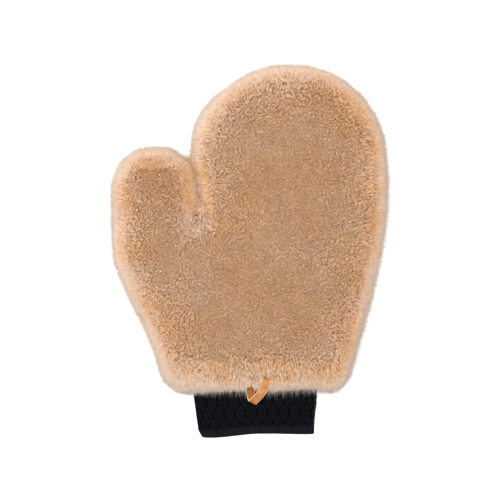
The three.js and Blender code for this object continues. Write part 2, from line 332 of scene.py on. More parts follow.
def leather_materials():
    """The strip's grain side, its flesh side and its cut edge, in the order of GRAIN, FLESH and EDGE."""
    stops = [(0.3, (140, 90, 46)), (0.7, (172, 120, 70))]
    grain, tree, shader, place, _ = mottled("leather_grain", 260, stops, roughness=0.6, specular=0.2)
    bump(tree, shader, noise(tree, place, 1400), distance=0.2 * MM, strength=0.4)
    # The flesh side's dark brown is partly the leather's own colour and partly painted shade, for the loop's
    # inner face that lies in shadow
    stops = [(0.3, (122, 70, 26)), (0.7, (152, 94, 42))]
    flesh = mottled("leather_flesh", 900, stops, roughness=0.9, sheen=0.2, specular=0.2)[0]
    stops = [(0.3, (224, 186, 146)), (0.7, (240, 212, 180))]
    cut_edge = mottled("leather_cut_edge", 1200, stops, roughness=0.8, specular=0.3)[0]
    return [grain, flesh, cut_edge]


# ---- wool ----

VOXEL = 1.5 * MM
BAND_VOXELS = 3.0
UNDERCOAT_HEIGHT = 5.5 * MM
UNDERCOAT_THICKNESS = 1.5 * MM
UNDERCOAT_ROUGHNESS = 0.5 * MM
UNDERCOAT_LUMP = 3 * MM
UNDERCOAT_FROM_FLOOR = 0.6 * MM
FIBRE_FROM_FLOOR = 0.15 * MM

# Each random pattern has its own seed
RIPPLE_SEED = SEED + 1
SLOW_LEAN_SEED = SEED + 2
QUICK_LEAN_SEED = SEED + 3
TINT_SEED = SEED + 4
CLUMP_RISE_SEED = SEED + 5
CLUMP_TINT_SEED = SEED + 6
UNDERCOAT_SEED = SEED + 30
STITCH_SEED = SEED + 40

# The dense pile, and the fine hairs that soften its surface. rings are places along the fibre, with the share
# of its width there; every fibre ends in a point. beyond is how far the tips on the mitt's sides stand past
# the skin, ragged is how uneven they are, and pull is how much of the way each tip is gathered to its clump
PILE_FIBRE = {
    "per_mm2": 1.9,
    "width": 0.42 * MM,
    "rings": [(0.0, 0.7), (0.72, 1.0)],
    "beyond": -1.2 * MM,
    "ragged": 0.4 * MM,
    "pull": 0.75,
    "in_piece": 19000,
}
FINE_FIBRE = {
    "per_mm2": 3.6,
    "width": 0.2 * MM,
    "rings": [(0.0, 1.0)],
    "beyond": -1.3 * MM,
    "ragged": 2.3 * MM,
    "pull": 0.5,
    "in_piece": 47500,
}
FIBRE_SIDES = 3
SIDE_TINT_STEP = 0.004
UV_MARGIN = 0.01

CLUMP_SIZE = 2.1 * MM
CLUMP_RISE = 0.75 * MM
CLUMP_TINT = 0.15
FIBRE_RISE = 0.4 * MM
MOST_RISE = 6 * MM
RIPPLE_SIZE = 9 * MM
RIPPLE_RISE = 0.4 * MM
ROOT_DEPTH = 1.0 * MM

# A place on the skin counts as level above the second value of its normal's Z, and as tilted below the first
TILTED, LEVEL = 0.88, 0.995

# Leans are shares of the fibre's length
SLOW_LEAN_SIZE = 26 * MM
SLOW_LEAN = 0.13
QUICK_LEAN_SIZE = 4 * MM
FIBRE_LEAN = 0.07
DOWN_LEAN = 0.06
DROOP = 0.3

# The wool droops towards the cuff, and its last rows make a fringe over the cuff
DROOP_FROM_Y, DROOP_FULL_Y = -60 * MM, -95 * MM
FRINGE_FROM_Y, FRINGE_FULL_Y = -80 * MM, -100 * MM

# Tints go from golden, 0, to cream, 1; the cream of the mitt's sides and its fringe is painted light
FACE_TINT = 0.2
ACROSS_TINT = 0.04
# Painted light: how much paler cream the mitt's sides and its fringe are painted
PAINTED_SIDE_LIGHT = 0.85
SIDE_STEEPNESS = 1.3
PAINTED_FRINGE_LIGHT = 0.25
PATCH_SIZE = 18 * MM
PATCH_TINT = 0.25
FIBRE_TINT = 0.12

# The crease beside the thumb: how near it the wool crosses it, how near it the wool is painted darker as
# shade, and how far it crosses
CREASE_REACH = 4.5 * MM
CREASE_SHADE = 13 * MM
CREASE_OVERLAP = 3.4 * MM

# The wool crowded into the crotch of the thumb is a wedge, below the thumb's root
WEDGE_FOOT = 32 * MM
WEDGE_TIP = 16 * MM
WEDGE_HALF = 6 * MM

# Places where the wool stands out further, with how far round and how high: the finger shoulder by the thumb,
# and both sides of the wrist
FULLER_CORNERS = [
    (KNUCKLE + Vector((-39, 43, 0)) * MM, 40 * MM, 4.5 * MM),
    (WRIST + Vector((-54, -9, 0)) * MM, 38 * MM, 5.5 * MM),
    (WRIST + Vector((56, -8, 0)) * MM, 24 * MM, 4.5 * MM),
]


def crotch_filling():
    """A wedge that stands for the wool in the crotch of the thumb: wide at its foot, a point at its top."""
    axis, up = np.array(THUMB_AXIS), np.array(THUMB_UP)
    foot = np.array(THUMB_ROOT) - up * WEDGE_FOOT
    tip = np.array(THUMB_ROOT) - up * WEDGE_TIP
    corners = []
    for x, z in ((-1, -1), (1, -1), (1, 1), (-1, 1)):
        corners.append(foot + axis * x * WEDGE_HALF + np.array((0, 0, z * WEDGE_HALF)))
    triangles = [(0, 2, 1), (0, 3, 2), (0, 1, 4), (1, 2, 4), (2, 3, 4), (3, 0, 4)]
    return np.array([*corners, tip], np.float32), np.array(triangles, np.uint32)


def offset_grid():
    """Distance outside the hide, as a volume."""
    points, triangles = joined(HIDES)
    more_points, more_triangles = crotch_filling()
    triangles = np.concatenate([triangles, more_triangles + np.uint32(len(points))])
    points = np.concatenate([points, more_points])
    return openvdb.FloatGrid.createLevelSetFromPolygons(
        points=points, triangles=triangles,
        transform=openvdb.createLinearTransform(voxelSize=VOXEL),
        exBandWidth=PILE / VOXEL + BAND_VOXELS, inBandWidth=BAND_VOXELS)


def skin_at(grid, height):
    """(points, quads, normals) of the surface this far outside the hide, without its inner shells."""
    points, quads = grid.convertToQuads(height)
    quads = quads.astype(np.int64)
    label = np.arange(len(points))
    while True:
        lowest = label[quads].min(axis=1)
        grown = label.copy()
        for i in range(4):
            np.minimum.at(grown, quads[:, i], lowest)
        grown = grown[grown]
        if np.array_equal(grown, label):
            break
        label = grown
    shells = np.unique(label)
    outer = max(shells, key=lambda s: np.ptp(points[label == s][:, 1]))
    kept = quads[label[quads[:, 0]] == outer]
    used, renumbered = np.unique(kept, return_inverse=True)
    points, quads = points[used].astype(float), renumbered.reshape(-1, 4)
    normals = quad_normals(points, quads)
    top = np.argmax(points[:, 2])
    if normals[top, 2] < 0:
        normals, quads = -normals, quads[:, ::-1]
    return points, quads, normals


def scatter(skin, count, rng):
    """Evenly spread random points on a skin, with their normals."""
    points, quads, normals = skin
    a, b, c, d = (points[quads[:, i]] for i in range(4))
    area = np.linalg.norm(np.cross(c - a, d - b), axis=1) / 2
    edge = np.cumsum(area)
    picks = np.searchsorted(edge, (np.arange(count) + rng.random(count)) / count * edge[-1])
    picks = np.minimum(picks, len(quads) - 1)
    u, v = rng.random((2, count, 1))
    shares = [(1 - u) * (1 - v), u * (1 - v), u * v, (1 - u) * v]
    place = sum(s * points[quads[picks, i]] for i, s in enumerate(shares))
    facing = unit(sum(s * normals[quads[picks, i]] for i, s in enumerate(shares)))
    return place, facing


def area_of(skin):
    points, quads, _ = skin
    a, b, c, d = (points[quads[:, i]] for i in range(4))
    return np.linalg.norm(np.cross(c - a, d - b), axis=1).sum() / 2


def nearest(centres, points):
    tree = KDTree(len(centres))
    for i, centre in enumerate(centres):
        tree.insert(centre, i)
    tree.balance()
    return np.array([tree.find(p)[1] for p in points])


CUFF_INSIDE_WOOL = 4 * MM


def in_cuff(points, margin):
    """Whether points are inside the elastic's tube, grown by a margin."""
    x = np.abs(points[:, 0] - CUFF_X) / (CUFF_HALF[0] + margin)
    z = np.abs(points[:, 2] - MID_Z) / (CUFF_HALF[2] + margin)
    in_section = x ** CUFF_SQUARENESS + z ** CUFF_SQUARENESS < 1
    return in_section & (points[:, 1] < hide_low[1] + CUFF_INSIDE_WOOL)


def per_clump(clumps, spread, seed):
    return np.random.default_rng(seed).normal(0, spread, len(clumps))


def grow_fibres(skin, clumps, kind, rng):
    """Root, tip, how far the tip is gathered into its clump, tint and place on the skin of each fibre."""
    count = int(area_of(skin) / MM ** 2 * kind["per_mm2"])
    place, facing = scatter(skin, count, rng)
    own = nearest(clumps, place)
    flat = smoothstep(TILTED, LEVEL, np.abs(facing[:, 2]))
    fringe = smoothstep(FRINGE_FROM_Y, FRINGE_FULL_Y, place[:, 1])
    clump_rise = per_clump(clumps, CLUMP_RISE, CLUMP_RISE_SEED)[own] * (lerp(0.1, 1, flat) + 0.9 * fringe)
    rise = np.minimum(clump_rise + fibre_rise(place, facing, flat, kind, rng), MOST_RISE)
    length = PILE - UNDERCOAT_HEIGHT + ROOT_DEPTH
    root = place - facing * length
    tip = place + facing * rise[:, None] + fibre_lean(place, facing, flat, rng) * length
    gather = (clumps[own] - place) * (kind["pull"] * lerp(0.3, 1, flat))[:, None]
    tint = fibre_tint(place, facing, fringe, rng) + per_clump(clumps, CLUMP_TINT, CLUMP_TINT_SEED)[own]
    return root, tip + gather, gather, np.clip(tint, 0.02, 0.98), place


def fibre_rise(place, facing, flat, kind, rng):
    """How far each fibre's tip stands out of the skin, apart from its clump's share."""
    rise = rng.normal(0, FIBRE_RISE, len(place)) * lerp(0.4, 1, flat)
    rise += (fuller(place) + kind["beyond"]) * (1 - flat)
    rise += rng.exponential(kind["ragged"], len(place)) * lerp(1, 0.35, flat)
    rise += value_noise(place, RIPPLE_SIZE, RIPPLE_SEED) * RIPPLE_RISE
    return rise + crease_share(place, facing, CREASE_REACH) * CREASE_OVERLAP


def fibre_lean(place, facing, flat, rng):
    """How far each fibre's tip leans along the skin, as a share of the fibre's length."""
    lean = value_noise(place, SLOW_LEAN_SIZE, SLOW_LEAN_SEED, 3) * SLOW_LEAN
    lean += value_noise(place, QUICK_LEAN_SIZE, QUICK_LEAN_SEED, 3) * lerp(0.02, 0.1, flat)[:, None]
    lean += rng.normal(0, FIBRE_LEAN, (len(place), 3)) * lerp(1.6, 1, flat)[:, None]
    lean[:, 1] -= DOWN_LEAN + DROOP * smoothstep(DROOP_FROM_Y, DROOP_FULL_Y, place[:, 1])
    return lean - (lean * facing).sum(axis=1, keepdims=True) * facing


def fibre_tint(place, facing, fringe, rng):
    """Each fibre's tint, apart from its clump's share. Painted light makes the mitt's sides and fringe
    creamy, and painted shade darkens the crease.
    """
    # Painted light: the more a fibre faces sideways, the paler cream it is painted, and the fringe's fibres
    # too
    side = np.minimum(SIDE_STEEPNESS * (1 - facing[:, 2] ** 2), 1)
    tint = FACE_TINT - ACROSS_TINT * place[:, 0] / wool_high[0] + PAINTED_SIDE_LIGHT * side + PAINTED_FRINGE_LIGHT * fringe
    # Painted shade: wool facing across the crease is painted a darker golden brown
    tint -= crease_share(place, facing, CREASE_SHADE)
    tint += PATCH_TINT * value_noise(place, PATCH_SIZE, TINT_SEED)
    return tint + rng.normal(0, FIBRE_TINT, len(place))


def fuller(place):
    """How much further the wool stands out at the mitt's corners."""
    extra = np.zeros(len(place))
    for corner, reach, height in FULLER_CORNERS:
        apart = np.hypot(place[:, 0] - corner.x, place[:, 1] - corner.y)
        extra += height * (1 - smoothstep(0, reach, apart))
    return extra


def crease_share(place, facing, reach):
    """How much, from 0 to 1, each fibre faces the other lobe across the crease beside the thumb."""
    axis, up = np.array(THUMB_AXIS), np.array(THUMB_UP)
    from_root = place - np.array(THUMB_ROOT)
    near = np.clip(1 - np.abs(from_root @ axis) / reach, 0, 1)
    across = np.clip(-(facing @ axis) * np.sign(from_root @ axis), 0, 1)
    return near * across * (from_root @ up > -THUMB_REACH)


# The loop's path is checked at this many points. The first ones are its sewn end, under the wool; then its
# upper run stands out, and of its lower run only what is past the wool's edge
PATH_CHECKS = 60
SEWN_CHECKS = 12
UPPER_CHECKS = 36
LOWER_RUN_SHOWS = 7.5 * MM
LOOP_TRIM = 0.2 * MM
LOOP_IN_WOOL = 14 * MM
ROOT_CLEARANCE = 0.5 * MM
TIP_CLEARANCE = 0.2 * MM


def over_loop(points):
    """Whether points are above the hanging loop, where it stands out of the wool."""
    path = smooth_path(LOOP_PATH, PATH_CHECKS) * MM + np.array(LOOP_ROOT)
    check = np.arange(PATH_CHECKS)
    past_wool = path[:, 1] < LOOP_ROOT.y - LOWER_RUN_SHOWS
    shown = np.where(check < UPPER_CHECKS, check > SEWN_CHECKS, past_wool)
    covered = np.zeros(len(points), bool)
    for place in path[shown]:
        apart = np.hypot(points[:, 0] - place[0], points[:, 1] - place[1])
        covered |= (apart < LOOP_WIDTH / 2 - LOOP_TRIM) & (points[:, 2] > place[2])
    return covered


def clear_of_cuff(root, tip):
    """Fibres that neither start nor end inside the cuff, and don't cross the loop."""
    middle = (root + tip) / 2
    clear = ~in_cuff(root, ROOT_CLEARANCE) & ~in_cuff(middle, TIP_CLEARANCE) & ~in_cuff(tip, TIP_CLEARANCE)
    wrist = np.flatnonzero(clear & (tip[:, 1] < LOOP_ROOT.y + LOOP_IN_WOOL) & (tip[:, 2] > MID_Z))
    crossing = np.zeros(len(wrist), bool)
    for share in (0.4, 0.6, 0.8, 1.0):
        crossing |= over_loop(root[wrist] + (tip[wrist] - root[wrist]) * share)
    clear[wrist[crossing]] = False
    return clear


def fibre_faces(ring_count):
    """The corners of one fibre's faces: a triangle at its root, quads between its rings, then its point."""
    first, last = range(FIBRE_SIDES), FIBRE_SIDES * (ring_count - 1)
    faces = [list(reversed(first))]
    for start in range(0, last, FIBRE_SIDES):
        for k in first:
            n = (k + 1) % FIBRE_SIDES
            faces.append([start + k, start + n, start + FIBRE_SIDES + n, start + FIBRE_SIDES + k])
    return faces + [[last + k, last + (k + 1) % FIBRE_SIDES, last + FIBRE_SIDES] for k in first]


def fibre_points(kind, root, tip, gather, rng):
    """The points of each fibre, ring by ring, and its tip. Only its last part turns to its clump."""
    count = len(root)
    along = unit(tip - root)
    across = unit(np.cross(along, unit(rng.normal(size=(count, 3)))))
    other = np.cross(along, across)
    width = kind["width"] * rng.uniform(0.75, 1.2, (count, 1)) / 2
    rows = []
    for share, wide in kind["rings"]:
        centre = root + (tip - gather - root) * share
        for k in range(FIBRE_SIDES):
            turn = 2 * math.pi * k / FIBRE_SIDES
            rows.append(centre + width * wide * (math.cos(turn) * across + math.sin(turn) * other))
    rows.append(tip)
    points = np.stack(rows, axis=1)
    points[:, :, 2] = np.maximum(points[:, :, 2], FIBRE_FROM_FLOOR)
    return points


def fibre_piece(name, kind, root, tip, gather, tint, rng):
    """A closed three-sided fibre for each root, in one mesh."""
    count = len(root)
    points = fibre_points(kind, root, tip, gather, rng)
    faces = fibre_faces(len(kind["rings"]))
    flat = np.concatenate([np.array(f) for f in faces])
    sizes = np.array([len(f) for f in faces])
    starts = np.concatenate([[0], np.cumsum(sizes)[:-1]])
    loops = (flat[None, :] + (np.arange(count) * points.shape[1])[:, None]).ravel()
    all_starts = (starts[None, :] + (np.arange(count) * len(flat))[:, None]).ravel()
    heights = [share for share, _ in kind["rings"] for _ in range(FIBRE_SIDES)]
    steps = [(k - 1) * SIDE_TINT_STEP for _ in kind["rings"] for k in range(FIBRE_SIDES)]
    uv = np.empty((count, len(flat), 2))
    uv[:, :, 0] = tint[:, None] + np.array([*steps, 0.0])[flat]
    uv[:, :, 1] = lerp(UV_MARGIN, 1 - UV_MARGIN, np.array([*heights, 1.0])[flat])
    return make_mesh(name, points.reshape(-1, 3), loops, all_starts, uv.reshape(-1, 2))


# How the CAD nodes of each zone are called
ZONE_NODES = {"upper": "finger_", "thumb": "thumb_", "lower": ""}


def wool_zones(place):
    """The name of each zone and side of the mitt, and which of these places are in it."""
    zone = zone_of(place)
    back = place[:, 2] < MID_Z
    for z, zone_name in enumerate(BENDS):
        for side, on_side in (("palm", ~back), ("back", back)):
            yield zone_name, side, np.flatnonzero((zone == z) & on_side)


def add_wool(grid):
    look = wool_material()
    skin = skin_at(grid, PILE)
    rng = np.random.default_rng(SEED)
    clumps, _ = scatter(skin, int(area_of(skin) / CLUMP_SIZE ** 2), rng)
    for kind_name, kind in (("pile", PILE_FIBRE), ("fine", FINE_FIBRE)):
        grown = grow_fibres(skin, clumps, kind, rng)
        keep = clear_of_cuff(*grown[:2])
        *fibres, place = (a[keep] for a in grown)
        for zone_name, side, chosen in wool_zones(place):
            part_count = math.ceil(len(chosen) / kind["in_piece"])
            for i, part in enumerate(np.array_split(chosen, part_count)):
                name = f"wool_{kind_name}_{zone_name}_{side}_{i + 1}"
                piece = fibre_piece(name, kind, *(a[part] for a in fibres), rng)
                piece.data.materials.append(look)
                bend(piece)
                if i == 0 and kind_name == "pile":
                    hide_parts(f"{ZONE_NODES[zone_name]}{side}_wool")


def add_undercoat(grid):
    """The short dense wool under the fibres, which hides the hide."""
    points, quads, normals = skin_at(grid, UNDERCOAT_HEIGHT)
    points[:, 2] = np.maximum(points[:, 2], UNDERCOAT_FROM_FLOOR)
    lumps = value_noise(points, UNDERCOAT_LUMP, UNDERCOAT_SEED)
    points += normals * lumps[:, None] * UNDERCOAT_ROUGHNESS
    middle = points[quads].mean(axis=1)
    quads = quads[~in_cuff(middle, UNDERCOAT_THICKNESS)]
    zone = zone_of(points[quads].mean(axis=1))
    look = undercoat_material()
    for z, zone_name in enumerate(BENDS):
        used, renumbered = np.unique(quads[zone == z], return_inverse=True)
        piece = quad_object(f"undercoat_{zone_name}", points[used], renumbered.reshape(-1, 4))
        thicken(piece, UNDERCOAT_THICKNESS)
        piece.data.materials.append(look)
        bend(piece)


def thicken(obj, thickness):
    """Gives an open sheet a thickness inwards, so that it is closed."""
    solid = obj.modifiers.new("thickness", "SOLIDIFY")
    solid.thickness = thickness
    solid.offset = -1
    apply_modifiers(obj)


def apply_modifiers(obj):
    bpy.context.view_layer.update()
    evaluated = obj.evaluated_get(bpy.context.evaluated_depsgraph_get())
    mesh = bpy.data.meshes.new_from_object(evaluated)
    obj.modifiers.clear()
    obj.data = mesh


# ---- hide and seams ----

SOFT_EDGE = 4 * MM
SPLIT_ROUNDS = 6
SAME_POINT = 0.01 * MM


def cut_short(names):
    """(points, triangles) of CAD nodes with short edges, cut at the zones' borders."""
    points, triangles = joined(names)
    made = bmesh.new()
    corners = [made.verts.new(p) for p in points]
    for triangle in triangles:
        made.faces.new([corners[i] for i in triangle])
    bmesh.ops.remove_doubles(made, verts=made.verts, dist=SAME_POINT)
    for _ in range(SPLIT_ROUNDS):
        long = [e for e in made.edges if e.calc_length() > SOFT_EDGE]
        if not long:
            break
        bmesh.ops.subdivide_edges(made, edges=long, cuts=1)
        bmesh.ops.triangulate(made, faces=[f for f in made.faces if len(f.verts) > 3])
    for place, across in ZONE_BORDERS:
        everything = made.verts[:] + made.edges[:] + made.faces[:]
        bmesh.ops.bisect_plane(made, geom=everything, plane_co=place, plane_no=across)
    bmesh.ops.triangulate(made, faces=made.faces)
    holder = bpy.data.objects.new("cut_short", bpy.data.meshes.new("cut_short"))
    made.to_mesh(holder.data)
    made.free()
    arrays = mesh_arrays(holder)
    bpy.data.objects.remove(holder)
    return arrays


def close_cuts(obj):
    """Fills the openings where a piece was cut from its neighbour, so that it is closed."""
    made = bmesh.new()
    made.from_mesh(obj.data)
    cut_edges = [e for e in made.edges if e.is_boundary]
    filled = bmesh.ops.holes_fill(made, edges=cut_edges, sides=0)
    bmesh.ops.triangulate(made, faces=filled["faces"])
    made.to_mesh(obj.data)
    made.free()


def declare_sheet(obj):
    """Reads the points of a closed thin piece, and does nothing more with them."""
    points, _ = mesh_arrays(obj)


def soft_copies(names, title, look, is_sheet=False):
    """Copies of CAD nodes, one for each zone that they reach."""
    points, triangles = cut_short(names)
    zone = zone_of(points[triangles].mean(axis=1))
    for z, zone_name in enumerate(BENDS):
        kept = triangles[zone == z]
        if not len(kept):
            continue
        used, renumbered = np.unique(kept, return_inverse=True)
        starts = np.arange(len(kept)) * 3
        piece = make_mesh(f"{title}_{zone_name}", points[used], renumbered.reshape(-1), starts)
        piece.data.polygons.foreach_set("use_smooth", np.zeros(len(kept), bool))
        piece.data.materials.append(look)
        if is_sheet:
            close_cuts(piece)
            declare_sheet(piece)
        bend(piece)
    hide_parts(*names)


def add_hides():
    suede = suede_material()
    for panel in ("palm", "back"):
        panel_hides = [n for n in HIDES if panel in n]
        soft_copies(panel_hides, f"{panel}_hide_lining", suede, is_sheet=True)


def add_edge_seams(look):
    seams = [n for n in frame["nodes"] if n.endswith("_seam_thread") and "cuff" not in n]
    soft_copies(seams, "edge_seam", look)


def set_look(node, look):
    """Gives a CAD node that stays in the picture its material."""
    obj = frame["nodes"][node]
    obj.data.materials.clear()
    obj.data.materials.append(look)


# ---- cuff ----

CUFF_GRID = 0.5 * MM
CUFF_WALL = 1.3 * MM
CUFF_SQUARENESS = 3
RING_STEPS = 20001
TUCKED_IN = 4 * MM
UNDER_HEM = 1 * MM

# The tube narrows towards its end: on the thumb's side from just below the wool, and again along the hem
THUMB_SIDE_TAPER = 3.9 * MM
THUMB_SIDE_HEM_TAPER = 2.8 * MM
FAR_SIDE_INSET = 1.2 * MM
FAR_SIDE_TAPER = 1.8 * MM
THUMB_SIDE_TAPER_FROM_Y = WRIST.y - 9 * MM
FAR_SIDE_TAPER_FROM_Y = WRIST.y - 12 * MM

# The cuff's end rises and then drops a little, between these shares of the half width from its middle
END_RISE = 3.1 * MM
END_RISE_ACROSS = (-0.767, 0.0924)
END_DROP = 0.6 * MM
END_DROP_ACROSS = (0.2506, 0.9289)

DIAMOND_WIDTH = 8.2 * MM
DIAMOND_HEIGHT = 19 * MM
INNER_DIAMOND_HALF_WIDTH = 1.7 * MM
INNER_DIAMOND_HALF_HEIGHT = 3.6 * MM
GROOVE_DEPTH = 0.6 * MM
GROOVE_HALF_WIDTH = 0.7 * MM
INNER_GROOVE_SHARE = 0.7
INNER_GROOVE_REACH = 1.4 * MM
INNER_GROOVE_HALF_WIDTH = 0.8 * GROOVE_HALF_WIDTH
RIB_PITCH = 1.87 * MM
RIB_HEIGHT = 0.3 * MM
RIB_POINTS = 6
FURROW = 0.7
EDGE_BUMP_PITCH = 1.9 * MM
EDGE_BUMP = 0.8 * MM


def ring_count(spacing):
    """How many points go round the flattened tube with about this spacing."""
    return int(round(2 * (2 * CUFF_HALF[0] + 1.6 * CUFF_HALF[2]) / spacing))


def cuff_ring(count):
    """Evenly spaced points once round the flattened tube.

    Returns them as shares of its half width and half height, with their outward directions, how far along
    the ring each is, and the ring's whole length.
    """
    angle = np.linspace(0, 2 * math.pi, RING_STEPS)
    power = 2 / CUFF_SQUARENESS
    x = np.sign(np.cos(angle)) * np.abs(np.cos(angle)) ** power
    z = np.sign(np.sin(angle)) * np.abs(np.sin(angle)) ** power
    steps = np.hypot(np.diff(x) * CUFF_HALF[0], np.diff(z) * CUFF_HALF[2])
    length = np.concatenate([[0], np.cumsum(steps)])
    even = np.arange(count) / count * length[-1]
    x, z = np.interp(even, length, x), np.interp(even, length, z)
    dx = (np.roll(x, -1) - np.roll(x, 1)) * CUFF_HALF[0]
    dz = (np.roll(z, -1) - np.roll(z, 1)) * CUFF_HALF[2]
    out = unit(np.stack([dz, -dx], axis=1))
    return x, z, out, even, length[-1]


def cuff_edges(y):
    """Where the cuff's two side folds are at the height y."""
    down = (THUMB_SIDE_TAPER_FROM_Y - y) / (THUMB_SIDE_TAPER_FROM_Y - hem_high[1])
    left = elastic_low[0] + THUMB_SIDE_TAPER * np.clip(down, 0, 1)
    left = left + THUMB_SIDE_HEM_TAPER * smoothstep(hem_high[1], hem_low[1], y)
    right = elastic_high[0] - FAR_SIDE_INSET
    right = right - FAR_SIDE_TAPER * smoothstep(FAR_SIDE_TAPER_FROM_Y, hem_low[1], y)
    return left, right


def hem_lift(x):
    """How much the cuff's end is raised at x: it hangs lowest by the thumb's side."""
    across = (x - CUFF_X) / CUFF_HALF[0]
    return END_RISE * smoothstep(*END_RISE_ACROSS, across) - END_DROP * smoothstep(*END_DROP_ACROSS, across)


def cuff_surface(ring, y, proud):
    """Points on the cuff, with a row for each y and a column for each ring point, set out by proud."""
    x, z, out, _, _ = ring
    left, right = cuff_edges(y)
    half = (right - left) / 2
    column_x = (left + right)[:, None] / 2 + half[:, None] * x[None, :]
    rows_y = y[:, None] + hem_lift(column_x) * smoothstep(WRIST.y, hem_high[1], y)[:, None]
    rows_z = MID_Z + CUFF_HALF[2] * np.broadcast_to(z, column_x.shape)
    points = np.stack([column_x, rows_y, rows_z], axis=2)
    points[:, :, 0] += out[None, :, 0] * proud
    points[:, :, 2] += out[None, :, 1] * proud
    return points


def lattice_depth(around, y):
    """Depth of the woven diamonds' grooves, from 0 to 1, with a small diamond in the middle of each."""
    phase = (y - hem_high[1]) / DIAMOND_HEIGHT
    round_swing = 0.5 - 0.5 * np.cos(2 * math.pi * phase)
    straight_swing = 1 - np.abs(2 * (phase % 1) - 1)
    swing = (round_swing + straight_swing) / 2
    place = around / DIAMOND_WIDTH
    slope = 2 * DIAMOND_WIDTH / DIAMOND_HEIGHT
    apart = [np.abs((place + sign * swing / 2 + 0.5) % 1 - 0.5) * DIAMOND_WIDTH for sign in (-1, 1)]
    groove = np.minimum(*apart) / math.hypot(1, slope)
    depth = np.exp(-(groove / GROOVE_HALF_WIDTH) ** 2)
    for shift in (0, 0.5):
        dx = np.abs((place + shift + 0.5) % 1 - 0.5) * DIAMOND_WIDTH
        dy = np.abs((phase + shift) % 1 - 0.5) * DIAMOND_HEIGHT
        from_middle = dx / INNER_DIAMOND_HALF_WIDTH + dy / INNER_DIAMOND_HALF_HEIGHT
        inner = np.abs(from_middle - 1) * INNER_GROOVE_REACH
        depth = np.maximum(depth, INNER_GROOVE_SHARE * np.exp(-(inner / INNER_GROOVE_HALF_WIDTH) ** 2))
    return depth


def grid_loops(rows, columns, closed_rows=False):
    """Quads of a grid whose columns close round, and whose rows may too."""
    last = rows if closed_rows else rows - 1
    r, c = np.meshgrid(np.arange(last), np.arange(columns), indexing="ij")
    below, right = (r + 1) % rows, (c + 1) % columns
    corners = [r * columns + c, below * columns + c, below * columns + right, r * columns + right]
    return np.stack(corners, axis=2).reshape(-1, 4)


def quad_object(name, points, quads):
    return make_mesh(name, points.reshape(-1, 3), quads.reshape(-1), np.arange(len(quads)) * 4)


def face_values(values, quads):
    return values.reshape(-1)[quads].mean(axis=1)


def add_elastic(looks):
    count = ring_count(CUFF_GRID)
    ring = cuff_ring(count)
    x, _, _, around, round_length = ring
    y = np.arange(hem_high[1] - UNDER_HEM, WRIST.y + TUCKED_IN, CUFF_GRID)[::-1]
    depth = lattice_depth(around[None, :] + 0 * y[:, None], y[:, None] + 0 * around)
    fold = smoothstep(0.97, 1.0, np.abs(x))[None, :]
    bumps = 0.5 + 0.5 * np.cos(2 * math.pi * y / EDGE_BUMP_PITCH)[:, None]
    proud = -GROOVE_DEPTH * depth * (1 - fold) - EDGE_BUMP * bumps * fold
    quads = grid_loops(len(y), count)
    elastic = quad_object("cuff_elastic_weave", cuff_surface(ring, y, proud), quads)
    # Painted shade: the faces deep in the diamonds' grooves get the darker groove material
    paint(elastic, looks, face_values(depth * (1 - fold), quads) > 0.5)
    thicken(elastic, CUFF_WALL)
    bend(elastic)
    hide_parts("cuff_elastic")


def paint(obj, looks, chosen):
    """Gives the chosen faces the second look, and the others the first."""
    for look in looks:
        obj.data.materials.append(look)
    obj.data.polygons.foreach_set("material_index", np.asarray(chosen).astype(np.int32))


# Round the band's section: share of its height from the top, millimetres out, and share of the ribs' height
HEM_SECTION = [(0.0, -1.3, 0), (0.0, 0.6, 0), (0.04, 0.95, 0.5), (0.12, 1.1, 1), (0.5, 1.15, 1),
               (0.86, 1.1, 1), (0.95, 0.9, 0.6), (1.0, -0.1, 0), (1.0, -0.8, 0), (0.93, -1.3, 0)]


def add_hem_band(looks):
    count = ring_count(RIB_PITCH / RIB_POINTS)
    ring = cuff_ring(count)
    _, _, _, around, _ = ring
    ribs = np.abs(np.sin(math.pi * around / RIB_PITCH))
    share, out, rib = np.array(HEM_SECTION).T
    y = lerp(hem_high[1], hem_low[1], share)
    proud = out[:, None] * MM - rib[:, None] * RIB_HEIGHT * (1 - ribs[None, :])
    quads = grid_loops(len(y), count, closed_rows=True)
    hem = quad_object("cuff_hem_ribs", cuff_surface(ring, y, proud), quads)
    # Painted shade: the faces in the furrows between the ribs get the darker groove material
    between = rib[:, None] * (ribs[None, :] < FURROW)
    paint(hem, looks, face_values(between, quads) > 0.5)
    bend(hem)
    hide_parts("cuff_hem_band")


THREAD_SIDES = 6


def tube(points, radius):
    """Points and quads of a round thread along a path, drawn in to a point at both ends."""
    along = unit(np.gradient(points, axis=0))
    across = unit(np.cross(along, np.array((0.1, 1.0, 0.2))))
    other = np.cross(along, across)
    turn = 2 * math.pi * np.arange(THREAD_SIDES) / THREAD_SIDES
    width = np.full(len(points), radius)
    width[0] = width[-1] = radius * 0.1
    ways = np.cos(turn)[None, :, None] * across[:, None, :] + np.sin(turn)[None, :, None] * other[:, None, :]
    rings = points[:, None, :] + width[:, None, None] * ways
    return rings.reshape(-1, 3), grid_loops(len(points), THREAD_SIDES)


# The pairs are the least and the most, in millimetres
STITCH_PITCH = 1.8 * MM
STITCH_REACH = (3.1, 4.0)
STITCH_SLANT = (0.35, 0.6)
STITCH_RADIUS = (0.42, 0.52)
STITCH_TURN = 1.25
STITCH_POINTS = 13
STITCH_BACK = 2.6 * MM
STITCH_IN_FOLD = 1.2 * MM
STITCH_FULLNESS = 0.6


